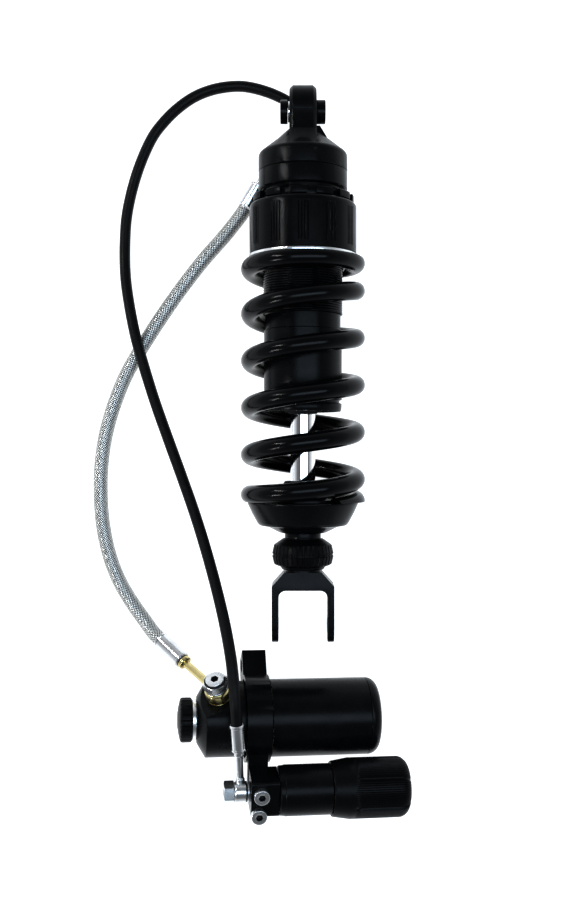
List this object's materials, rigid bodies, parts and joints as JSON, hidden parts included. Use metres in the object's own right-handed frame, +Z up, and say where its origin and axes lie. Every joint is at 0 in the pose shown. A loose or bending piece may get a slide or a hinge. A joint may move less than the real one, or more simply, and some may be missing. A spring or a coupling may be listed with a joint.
{
  "type": "motorcycle coil-over rear shock with a remote reservoir",
  "caption": "Coil-over rear shock with a ball-jointed top eye, a fork clevis, a gas reservoir on a braided hose and a remote hydraulic preload adjuster.",
  "frame": {"origin": "centre of the ball in the top eye", "axes": "+Y up the damper axis from the clevis to the eye, +X across to the right with the eye bolt, +Z up off the table that it lies on"},
  "size_m": [0.208, 0.4796, 0.0795],
  "materials": {
    "black_anodised": "satin",
    "gold_plated": "satin",
    "silver_aluminium": "satin",
    "black_cast": "satin",
    "plain_steel": "satin",
    "black_rubber": "matte",
    "spring_black": "gloss",
    "hard_chrome": "mirror",
    "piston_band_plastic": "matte",
    "steel_braid": "satin"
  },
  "bodies": {
    "shock_body": {"reservoir_tube": "black_anodised", "reservoir_cap": "black_anodised", "gas_fill_valve": "gold_plated", "valve_block": "black_cast", "compression_dial_plate": "silver_aluminium", "bracket": "black_anodised", "adjuster_end_block": "black_anodised", "clamp_screw_1": "silver_aluminium", "clamp_screw_2": "silver_aluminium", "adjuster_barrel": "black_anodised", "block_crush_washer_inner": "gold_plated", "block_crush_washer_outer": "silver_aluminium", "reservoir_hose_lower_ferrule": "silver_aluminium", "block_banjo": "gold_plated", "block_banjo_bolt": "silver_aluminium", "adjuster_banjo": "silver_aluminium", "adjuster_banjo_bolt": "silver_aluminium", "adjuster_crush_washer": "silver_aluminium", "preload_hose_lower_ferrule": "silver_aluminium", "eye_bearing_race": "plain_steel", "eye_snap_ring": "plain_steel", "head_cap": "black_cast", "preload_port_ring": "black_anodised", "damper_tube": "black_anodised", "seal_head": "black_anodised", "rod_wiper_seal": "black_rubber", "lock_ring": "black_anodised", "preload_housing": "black_anodised", "head_crush_washer_inner": "silver_aluminium", "head_crush_washer_outer": "silver_aluminium", "head_banjo": "silver_aluminium", "head_banjo_bolt": "silver_aluminium", "reservoir_hose_upper_ferrule": "silver_aluminium", "port_banjo": "silver_aluminium", "port_banjo_bolt": "silver_aluminium", "preload_hose_upper_ferrule": "silver_aluminium", "reservoir_hose": "steel_braid", "preload_hose": "black_rubber"},
    "eye_ball": {"eye_ball": "plain_steel", "eye_collar_left": "black_anodised", "eye_collar_right": "black_anodised"},
    "rod": {"damper_rod": "hard_chrome", "piston": "silver_aluminium", "piston_band": "piston_band_plastic", "rebound_shims": "plain_steel", "compression_shims": "plain_steel", "piston_nut": "plain_steel", "bump_stop": "black_rubber", "lower_spring_seat": "black_anodised", "clevis": "black_anodised"},
    "rebound_knob": {"rebound_knob": "black_anodised"},
    "rebound_needle": {"rebound_needle": "plain_steel"},
    "spring_seat": {"upper_spring_seat": "silver_aluminium", "preload_ring_piston": "plain_steel", "spring": "spring_black"},
    "preload_knob": {"preload_knob": "black_anodised"},
    "preload_plunger": {"preload_plunger": "plain_steel"},
    "compression_knob": {"compression_knob": "black_anodised"},
    "compression_needle": {"compression_needle": "plain_steel"},
    "floating_piston": {"floating_piston": "silver_aluminium"}
  },
  "joints": [
    {"name": "eye_swivel", "type": "hinge", "parent": "shock_body", "child": "eye_ball", "pos_m": [0, 0, 0], "axis": [1, 0, 0], "continuous": true},
    {"name": "rod_slide", "type": "slide", "parent": "shock_body", "child": "rod", "axis": [0, 1, 0], "range_m": [0, 0.042], "stiffness_N_per_m": 90000, "deforming": ["spring"]},
    {"name": "rebound_turn", "type": "hinge", "parent": "rod", "child": "rebound_knob", "pos_m": [0, -0.283, 0], "axis": [0, 1, 0], "range_deg": [-540, 540]},
    {"name": "rebound_needle_slide", "type": "slide", "parent": "rod", "child": "rebound_needle", "axis": [0, 1, 0], "range_m": [-0.0015, 0.0015]},
    {"name": "seat_slide", "type": "slide", "parent": "shock_body", "child": "spring_seat", "axis": [0, -1, 0], "range_m": [0, 0.00693], "deforming": ["spring"]},
    {"name": "preload_turn", "type": "hinge", "parent": "shock_body", "child": "preload_knob", "pos_m": [0.04292, -0.42876, 0.0107], "axis": [0.9902, -0.0086, -0.1392], "range_deg": [0, 2520]},
    {"name": "plunger_slide", "type": "slide", "parent": "shock_body", "child": "preload_plunger", "axis": [-0.9902, 0.0086, 0.1392], "range_m": [0, 0.0105]},
    {"name": "compression_turn", "type": "hinge", "parent": "shock_body", "child": "compression_knob", "pos_m": [-0.07427, -0.38885, 0.00074], "axis": [0.9902, -0.0086, -0.1392], "range_deg": [-540, 540]},
    {"name": "compression_needle_slide", "type": "slide", "parent": "shock_body", "child": "compression_needle", "axis": [0.9902, -0.0086, -0.1392], "range_m": [-0.0015, 0.0015]},
    {"name": "floating_piston_slide", "type": "slide", "parent": "shock_body", "child": "floating_piston", "axis": [0.9902, -0.0086, -0.1392], "range_m": [0, 0.0059]}
  ],
  "couplings": [
    {"joint": "floating_piston_slide", "follows": "rod_slide", "ratio": 0.1384},
    {"joint": "rebound_turn", "follows": "rebound_needle_slide", "rad_per_m": 6283},
    {"joint": "compression_turn", "follows": "compression_needle_slide", "rad_per_m": 6283},
    {"joint": "preload_turn", "follows": "plunger_slide", "rad_per_m": 4188.7},
    {"joint": "seat_slide", "follows": "plunger_slide", "ratio": 0.66}
  ]
}
